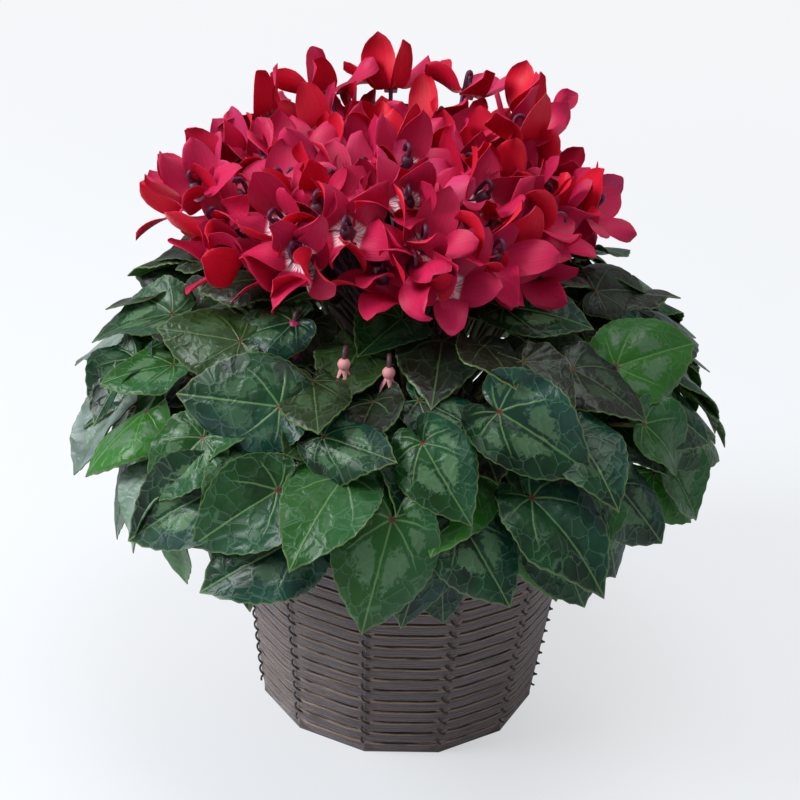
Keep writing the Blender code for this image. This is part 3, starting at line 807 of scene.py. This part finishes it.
# azimuth, reach from the middle of the blooms, height of the hub, lean outwards
CAD_FLOWERS = [
    (0, 0.088, 0.318, 40), (40, 0.092, 0.322, 45), (80, 0.092, 0.328, 50), (120, 0.090, 0.325, 40),
    (160, 0.088, 0.322, 35), (-160, 0.088, 0.322, 35), (-120, 0.090, 0.320, 40), (-80, 0.096, 0.310, 55),
    (-40, 0.092, 0.316, 45), (20, 0.052, 0.350, 15), (80, 0.048, 0.354, 12), (140, 0.048, 0.356, 8),
    (-160, 0.050, 0.356, 8), (-100, 0.054, 0.352, 15), (-40, 0.052, 0.350, 15),
]
# rings of more flowers: how many, first azimuth, reach, height, lean
FLOWER_RINGS = [
    (9, 20, 0.107, 0.318, 62), (12, 6, 0.110, 0.332, 48), (12, 18, 0.094, 0.342, 34),
    (10, 8, 0.074, 0.350, 28), (8, 0, 0.080, 0.322, 36), (7, 30, 0.062, 0.338, 24),
    (6, 25, 0.044, 0.346, 18), (5, 30, 0.026, 0.356, 12),
]
# single flowers at the two sides and the tall ones at the back
OUTER_FLOWERS = [
    (-92, 0.124, 0.322, 52), (84, 0.120, 0.336, 44), (-70, 0.116, 0.346, 30), (-152, 0.090, 0.374, 22),
    (-178, 0.084, 0.378, 14), (150, 0.090, 0.378, 18), (124, 0.098, 0.372, 28), (-126, 0.098, 0.364, 30),
    (100, 0.076, 0.372, 14),
]
bloom_chance = random.Random(12)
FLOWERS = list(CAD_FLOWERS)
for count, first, reach, height, lean in FLOWER_RINGS:
    for i in range(count):
        azimuth = first + 360 * i / count + bloom_chance.uniform(-8, 8)
        FLOWERS.append((azimuth, reach + bloom_chance.uniform(-0.005, 0.005),
                        height + bloom_chance.uniform(-0.005, 0.007),
                        lean + bloom_chance.uniform(-18, 16)))
FLOWERS += OUTER_FLOWERS
print("flowers:", len(FLOWERS))

# %% [markdown]
# A petal is red, with fine streaks along it, and on some flowers a darker crimson is painted in as shade.
# Its back is more pink, and on many flowers the base is white with red stripes. Streaks and stripes follow
# each petal, so they come from attributes, and one more number a flower, its tint, sets the flowers apart
# in one material.

# %% Petal finish
INNER_DEEP, INNER_RED, INNER_SHADED_CRIMSON = (0.46, 0.004, 0.022), (0.82, 0.010, 0.036), (0.36, 0.005, 0.05)
OUTER_DEEP, OUTER_RED, OUTER_PINK = (0.38, 0.006, 0.050), (0.66, 0.020, 0.095), (0.62, 0.06, 0.20)
PETAL_WHITE, PETAL_RIM = (0.92, 0.76, 0.80), (0.80, 0.05, 0.10)
WHITE_FROM, WHITE_TO = (0.04, 0.1), (0.28, 0.40)      # shares of a petal's length

petal_red = Finish("petal", (0.62, 0.01, 0.03), 0.45, Specular_IOR_Level=0.2)
along_petal, across_petal = petal_red.attribute("along"), petal_red.attribute("across")
outside, tint = petal_red.attribute("outside"), petal_red.attribute("tint")
streak_spot = petal_red.join(along_petal * 0.6, across_petal * 6, tint * 20)
streak = petal_red.noise(streak_spot, 2.5, 4.0)
inner = petal_red.mix(streak, INNER_DEEP, INNER_RED)
# painted shade: some flowers, chosen by their tint, take the darker crimson that the red shows in shade
inner = petal_red.mix(petal_red.step(tint, 0.6, 1.0) * 0.6, inner, INNER_SHADED_CRIMSON)
outer = petal_red.mix(streak, OUTER_DEEP, OUTER_RED)
outer = petal_red.mix(petal_red.step(tint, 0.7, 1.0) * 0.5, outer, OUTER_PINK)
face = petal_red.mix(outside, inner, outer)
stripe_spot = petal_red.join(along_petal * 0.4, across_petal * 5, tint * 20)
stripe = petal_red.step(petal_red.noise(stripe_spot, 1.5), 0.38, 0.50)
pale_base = petal_red.step(along_petal, *WHITE_FROM) * (1 - petal_red.step(along_petal, *WHITE_TO)) * stripe
striped_head = petal_red.step(petal_red.math("FRACT", tint * 7), 0.35, 0.55)
face = petal_red.mix(pale_base * striped_head, face, PETAL_WHITE)
petal_rim = petal_red.step(petal_red.math("ABSOLUTE", across_petal), 0.93, 1.0)
petal_red.colour(petal_red.mix(petal_rim * 0.25, face, PETAL_RIM))
petal_red.bump(streak, 0.0005, 0.4)
calyx = Finish("calyx", (0.07, 0.012, 0.035), 0.5)
throat = Finish("throat", (0.6, 0.3, 0.4), 0.5)
print("petal nodes:", len(petal_red.tree.nodes))

# %% [markdown]
# A petal is a flat grid, thickened to a slab, then laid along a curve that leaves the mouth, turns back
# and rises past the stalk. Its width swells towards the end and closes in a blunt point. Bend and twist
# modifiers could shape the grid too, but then no two petals could differ without a copy of each.

# %% Petal shape
PETAL_PATH = [Vector(p) for p in ((3.6, -7.0), (11, -14), (14, 2), (22, 27))]
PETAL_WIDTHS = [2.6, 3.8, 5.8, 8.2, 10.4, 12.0, 12.8, 12.6, 11.4, 8.6, 2.6]
PETAL_ROWS = 16
PETAL_COLUMNS = 8
PETAL_THICK = 0.35         # mm, as all lengths of a petal are until its size is set
TIP_ROUND = 0.05           # how much the corners of the tip are pulled back, as a share of its length
RIPPLES = 7                # radians of wave along a petal's edge


def petal_width(t):
    """Half the width, in mm, at a share of the length."""
    place = t * (len(PETAL_WIDTHS) - 1)
    i = min(int(place), len(PETAL_WIDTHS) - 2)
    return PETAL_WIDTHS[i] + (PETAL_WIDTHS[i + 1] - PETAL_WIDTHS[i]) * (place - i)


def path_point(t, openness):
    """Point and direction on the petal's path, in mm from the hub, swung by an openness angle."""
    p0, p1, p2, p3 = PETAL_PATH
    s = 1 - t
    point = p0 * s**3 + p1 * 3 * s * s * t + p2 * 3 * s * t * t + p3 * t**3
    slope = (p1 - p0) * s * s + (p2 - p1) * 2 * s * t + (p3 - p2) * t * t
    swing = Matrix.Rotation(-math.radians(openness) * t, 2)
    return p0 + swing @ (point - p0), (swing @ slope).normalized()


def petal(bm, layer, turn, chance, tint_value):
    """One petal in the hub's own frame, Z along the flower's axis, in metres."""
    before = set(bm.verts)
    bmesh.ops.create_grid(bm, x_segments=PETAL_COLUMNS, y_segments=PETAL_ROWS, size=1)
    sheet = [v for v in bm.verts if v not in before]
    faces = [f for f in bm.faces if f.verts[0] not in before]
    grown = bmesh.ops.extrude_face_region(bm, geom=faces, use_keep_orig=True)["geom"]
    second = {v for v in grown if isinstance(v, bmesh.types.BMVert)}
    openness, twist = chance.uniform(-14, 60), math.radians(chance.uniform(10, 110))
    cup, phase, ripple = chance.uniform(-5.0, 3.5), chance.uniform(0, 6.28), chance.uniform(1.0, 3.6)
    size = chance.uniform(0.70, 0.93) / 1000
    around = Matrix.Rotation(turn + chance.uniform(-0.12, 0.12), 3, "Z")
    for v in sheet + list(second):
        x, t = v.co.x, (v.co.y + 1) / 2
        t = t - TIP_ROUND * t**6 * x * x
        point, slope = path_point(t, openness)
        direction = Vector((slope.x, 0, slope.y))
        width = Matrix.Rotation(twist * t * t, 3, direction) @ Vector((0, 1, 0))
        facing = direction.cross(width)
        lift = cup * x * x * t + ripple * math.sin(RIPPLES * t + phase) * x * t
        lift += PETAL_THICK if v in second else 0
        spot = Vector((point.x, 0, point.y)) + width * x * petal_width(t) + facing * lift
        v.co = around @ (spot * size)
        v[layer["along"]], v[layer["across"]] = t, x
        v[layer["outside"]], v[layer["tint"]] = float(v in second), tint_value


print("petal rows:", PETAL_ROWS)

# %% [markdown]
# A head is five petals round a short cup: the calyx outside and the throat inside, spun as one profile.
# It is built with its axis upright at the hub, and then turned to its lean, so all heads share the code.

# %% Flower heads
CUP_PROFILE = [(2.0, -9.5), (3.9, -9.8), (4.3, -7.5), (4.0, -4.0), (3.0, 0.0), (0.0, 1.5)]
CUP_STEPS = 20
THROAT_TOP = -0.006        # the part of the cup below this, near the mouth, is the throat


def flower_axis(azimuth, reach, height, lean):
    """Hub of a flower, its axis, and the direction across the axis that faces the middle."""
    out, side = heading(azimuth)
    hub = BLOOM_CENTRE + out * reach + Vector((0, 0, height))
    a = math.radians(lean)
    axis = Vector((0, 0, 1)) * math.cos(a) + out * math.sin(a)
    inward = side.cross(axis).normalized()
    if inward.dot(out) > 0:
        inward.negate()
    return hub, axis, inward


def flower_head(number, spec, nodes):
    hub, axis, inward = flower_axis(*spec)
    chance = random.Random(number * 11 + 5)
    bm = bmesh.new()
    layer = {name: bm.verts.layers.float.new(name) for name in ("along", "across", "outside", "tint")}
    tint_value = chance.random()
    for i in range(5):
        petal(bm, layer, math.radians(36 + 72 * i), chance, tint_value)
    petal_faces = len(bm.faces)
    row = [bm.verts.new((radius / 1000, 0, rise / 1000)) for radius, rise in CUP_PROFILE]
    edges = [bm.edges.new(pair) for pair in zip(row, row[1:])]
    bmesh.ops.spin(bm, geom=row + edges, cent=(0, 0, 0), axis=(0, 0, 1), dvec=(0, 0, 0),
                   angle=2 * math.pi, steps=CUP_STEPS, use_merge=True)
    bm.faces.ensure_lookup_table()
    for face in bm.faces[petal_faces:]:
        face.material_index = 1 if face.calc_center_median().z > THROAT_TOP else 2
    bmesh.ops.remove_doubles(bm, verts=bm.verts, dist=1e-6)
    bmesh.ops.recalc_face_normals(bm, faces=bm.faces)
    frame_matrix = Matrix((inward, axis.cross(inward), axis)).transposed().to_4x4()
    bm.transform(Matrix.Translation(hub) @ frame_matrix)
    finished(f"head_{number + 1:02d}", bm, [petal_red, calyx, throat], nodes, 70)
    return hub, axis, inward


# %% [markdown]
# The stalk leaves the back of the flower, hooks over to the inner side between two petals and goes down
# to the crown. It is brown below and dark purple near the flower. The hook is half a turn of a circle,
# and the rest is one smooth curve, because a straight stalk would cut through its neighbours.

# %% Flower stalks
HOOK = 0.0028              # radius of the hook
HOOK_BASE = 0.004          # how far behind the hub the hook starts
ELBOW_DROP = 0.010         # from the hub down to the end of the hook's straight leg
ELBOW_REACH = 0.035        # how far below the elbow a stalk keeps the flower's direction
SCAPE_REACH = 0.11         # how far above its collar a stalk starts to straighten up
SCAPE_BROWN, SCAPE_PURPLE = (0.09, 0.055, 0.035), (0.075, 0.010, 0.042)
PURPLE_FROM = (0.24, 0.32)              # heights
SCAPE_STEPS = 18
scape = Finish("flower stalk", (0.13, 0.06, 0.045), 0.5)
_, _, stalk_height = scape.split(scape.place())
scape.colour(scape.mix(scape.step(stalk_height, *PURPLE_FROM), SCAPE_BROWN, SCAPE_PURPLE))


def scape_route(hub, axis, inward, azimuth):
    """The points of a flower stalk from the hub to the crown, each with the stalk's radius."""
    route = [hub + axis * 0.001]
    for degrees in (0, 30, 60, 90, 120, 150, 180):
        a = math.radians(degrees)
        route.append(hub + axis * (HOOK_BASE + HOOK * math.sin(a)) + inward * HOOK * (1 - math.cos(a)))
    elbow = hub + inward * 2 * HOOK - axis * ELBOW_DROP
    foot, collar = crown_spot(azimuth, FLOWER_RING)
    below_elbow, above_collar = elbow - axis * ELBOW_REACH, collar + Vector((0, 0, SCAPE_REACH))
    route += [elbow] + bezier(elbow, below_elbow, above_collar, collar, SCAPE_STEPS) + [foot]
    return [(point, SCAPE / 2) for point in route]


# %% Flowers
scapes = []
for number, spec in enumerate(FLOWERS):
    nodes = [f"flower_{number + 1:02d}"] if number < len(CAD_FLOWERS) else []
    hub, axis, inward = flower_head(number, spec, nodes)
    scapes.append(scape_route(hub, axis, inward, spec[0]))
print("heads:", len(scapes))

# %% [markdown]
# One furled bud hangs among the flowers. Two blooms are spent: their petals have dropped, and only the
# small pink star of the calyx is left on its stalk. The bud is a spun profile with twisted ridges where
# its petals wrap round each other. A star is a small ball with five flat cones as its sepals.

# %% Furled bud
BUD_PROFILE = [(0, 3), (2.6, 2), (3.6, -1), (4.0, -5), (4.2, -11), (3.2, -18), (1.4, -24), (0, -26)]
BUD_STEPS = 40
BUD_TWIST = 120            # radians of twist for each metre of height
RIDGE = 0.16               # height of a ridge as a share of the radius
bud_pink = Finish("bud", (0.38, 0.012, 0.09), 0.5)


def furled_bud(bm):
    row = [bm.verts.new((radius / 1000, 0, rise / 1000)) for radius, rise in BUD_PROFILE]
    edges = [bm.edges.new(pair) for pair in zip(row, row[1:])]
    bmesh.ops.spin(bm, geom=row + edges, cent=(0, 0, 0), axis=(0, 0, 1), dvec=(0, 0, 0),
                   angle=2 * math.pi, steps=BUD_STEPS, use_merge=True)
    bmesh.ops.remove_doubles(bm, verts=bm.verts, dist=1e-6)
    for v in bm.verts:
        angle = math.atan2(v.co.y, v.co.x) + v.co.z * BUD_TWIST
        ridge = 1 + RIDGE * abs(math.sin(2.5 * angle))
        v.co.x, v.co.y = v.co.x * ridge, v.co.y * ridge


# %% Spent calyx
SEPAL = 0.013              # length
SEPAL_WIDE, SEPAL_TIP = 0.0021, 0.0002
SEPAL_TURN = 152           # degrees down from straight up
spent_pink = Finish("spent calyx", (0.72, 0.30, 0.31), 0.6)


def spent_star(bm):
    bmesh.ops.create_uvsphere(bm, u_segments=16, v_segments=10, radius=0.0036)
    for i in range(5):
        before = set(bm.verts)
        bmesh.ops.create_cone(bm, cap_ends=True, segments=8, radius1=SEPAL_WIDE, radius2=SEPAL_TIP,
                              depth=SEPAL)
        sepal = [v for v in bm.verts if v not in before]
        bmesh.ops.scale(bm, vec=(0.5, 1, 1), verts=sepal)
        bmesh.ops.translate(bm, vec=(0, 0, SEPAL / 2), verts=sepal)
        hang = Matrix.Rotation(math.radians(SEPAL_TURN), 3, "Y")
        turn = Matrix.Rotation(math.radians(72 * i), 3, "Z") @ hang
        bmesh.ops.rotate(bm, cent=(0, 0, 0), matrix=turn, verts=sepal)
    bmesh.ops.translate(bm, vec=(0, 0, -0.002), verts=bm.verts)


# %% Bud and spent blooms
# azimuth, reach and height of the hub, what makes it and its finish
BUDS = [
    (-28, 0.100, 0.285, furled_bud, bud_pink), (-9, 0.116, 0.277, spent_star, spent_pink),
    (3, 0.116, 0.274, spent_star, spent_pink),
]
for number, (azimuth, reach, height, shape, finish) in enumerate(BUDS):
    out, _ = heading(azimuth)
    hub = BLOOM_CENTRE + out * reach + Vector((0, 0, height))
    bm = bmesh.new()
    shape(bm)
    bmesh.ops.recalc_face_normals(bm, faces=bm.faces)
    bmesh.ops.translate(bm, vec=hub, verts=bm.verts)
    finished(f"furled_bud_{number + 1}", bm, [finish], [f"bud_{number + 1:02d}"])
    scapes.append(scape_route(hub, Vector((0, 0, 1)), -out, azimuth))
stalks("flower_stalks", scapes, scape)
print("scapes:", len(scapes))
